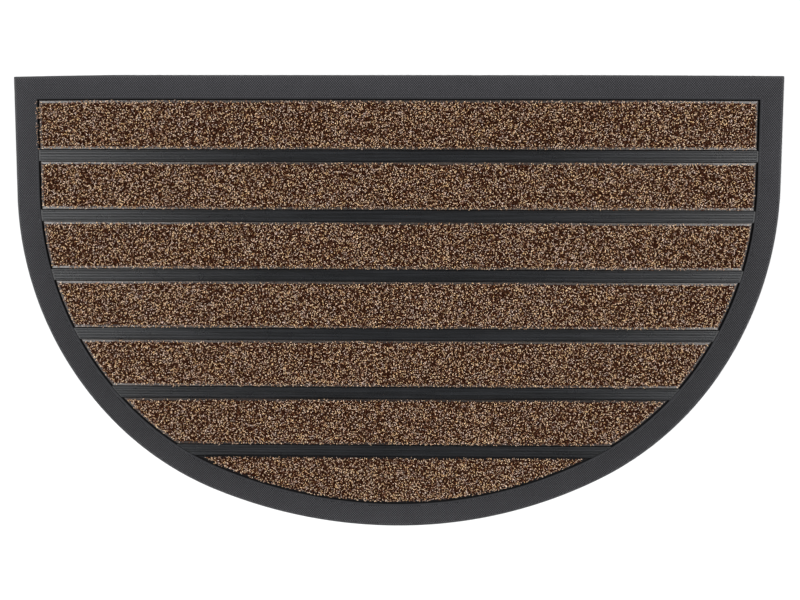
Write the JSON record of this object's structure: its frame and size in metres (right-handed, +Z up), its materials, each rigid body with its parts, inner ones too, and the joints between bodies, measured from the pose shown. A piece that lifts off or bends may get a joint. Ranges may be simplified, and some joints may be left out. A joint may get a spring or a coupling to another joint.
{
  "type": "half round doormat",
  "caption": "Flat half round doormat: a moulded rubber tray with ribbed bars, and strips of short brown pile carpet laid between the bars.",
  "frame": {"origin": "on the floor, under the middle of the mat", "axes": "+X along the straight edge, +Y towards the straight edge, +Z up from the floor"},
  "size_m": [0.75, 0.449, 0.0075],
  "materials": {
    "moulded_rubber": "matt, finely knurled",
    "brown_pile": "short curly pile, mottled cream and golden on dark brown"
  },
  "bodies": {
    "root": {"rubber_tray": "moulded_rubber", "carpet_strip_1": "brown_pile", "carpet_strip_2": "brown_pile", "carpet_strip_3": "brown_pile", "carpet_strip_4": "brown_pile", "carpet_strip_5": "brown_pile", "carpet_strip_6": "brown_pile", "carpet_strip_7": "brown_pile"}
  },
  "joints": []
}
